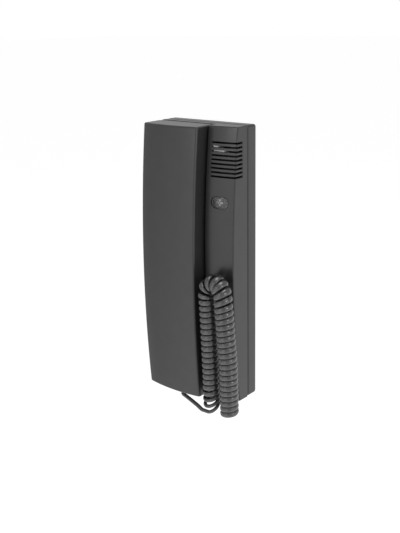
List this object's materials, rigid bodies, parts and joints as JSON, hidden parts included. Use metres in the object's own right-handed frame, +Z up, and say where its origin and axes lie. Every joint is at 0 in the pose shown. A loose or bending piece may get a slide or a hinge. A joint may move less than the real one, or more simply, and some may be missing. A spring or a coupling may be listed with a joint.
{
  "type": "audio intercom handset",
  "caption": "Slim graphite wall intercom: a handset on its cradle, a strip with a slotted grille and an oval door button, and a curly cord looped up in front.",
  "frame": {"origin": "middle of the two wall screw holes, on the wall plate's rear face", "axes": "+X to the right as seen from the room, +Y into the wall, +Z up along the unit's height"},
  "size_m": [0.0875, 0.0479, 0.2183],
  "materials": {
    "graphite_plastic": "fine matte texture",
    "handset_plastic": "fine matte texture",
    "screw_steel": "zinc plated",
    "board_laminate": "solder resist",
    "terminal_plastic": "moulded",
    "black_plastic": "moulded",
    "speaker_paper": "pressed paper",
    "plated_steel": "bright plated",
    "white_nylon": "moulded",
    "clear_plastic": "clear, polished",
    "black_rubber": "matte",
    "cord_jacket": "satin"
  },
  "bodies": {
    "base": {"wall_plate": "graphite_plastic", "front_cover": "graphite_plastic", "cover_screw": "screw_steel", "circuit_board": "board_laminate", "board_screws": "screw_steel", "terminal_block": "terminal_plastic", "terminal_screws": "screw_steel", "speaker_frame": "black_plastic", "speaker_cone": "speaker_paper", "speaker_magnet": "plated_steel", "speaker_clip": "white_nylon", "door_switch": "black_plastic", "hook_switch": "black_plastic", "hook_spring": "plated_steel", "base_gland": "black_rubber", "base_tail": "cord_jacket", "curly_cord": "cord_jacket"},
    "handset": {"handset_front": "handset_plastic", "handset_back": "handset_plastic", "handset_screws": "screw_steel", "earpiece_capsule": "plated_steel", "earpiece_gasket": "black_rubber", "microphone_capsule": "plated_steel", "microphone_boot": "black_rubber", "handset_gland": "black_rubber", "handset_tail": "cord_jacket"},
    "door_button": {"door_button": "clear_plastic", "door_switch_stem": "white_nylon"},
    "hook_plunger": {"hook_plunger": "black_plastic", "hook_switch_stem": "white_nylon"}
  },
  "joints": [
    {"name": "handset_lift", "type": "slide", "parent": "base", "child": "handset", "axis": [0, -0.766, 0.6428], "range_m": [0, 0.04], "deforming": ["curly_cord", "handset_tail"]},
    {"name": "door_button_press", "type": "slide", "parent": "base", "child": "door_button", "axis": [0, 1, 0], "range_m": [0, 0.001], "stiffness_N_per_m": 500, "springref_m": -0.001},
    {"name": "hook_plunger_travel", "type": "slide", "parent": "base", "child": "hook_plunger", "axis": [0, -1, 0], "range_m": [0, 0.002], "deforming": ["hook_spring"]}
  ],
  "couplings": [
    {"joint": "hook_plunger_travel", "follows": "handset_lift", "ratio": 0.05}
  ]
}
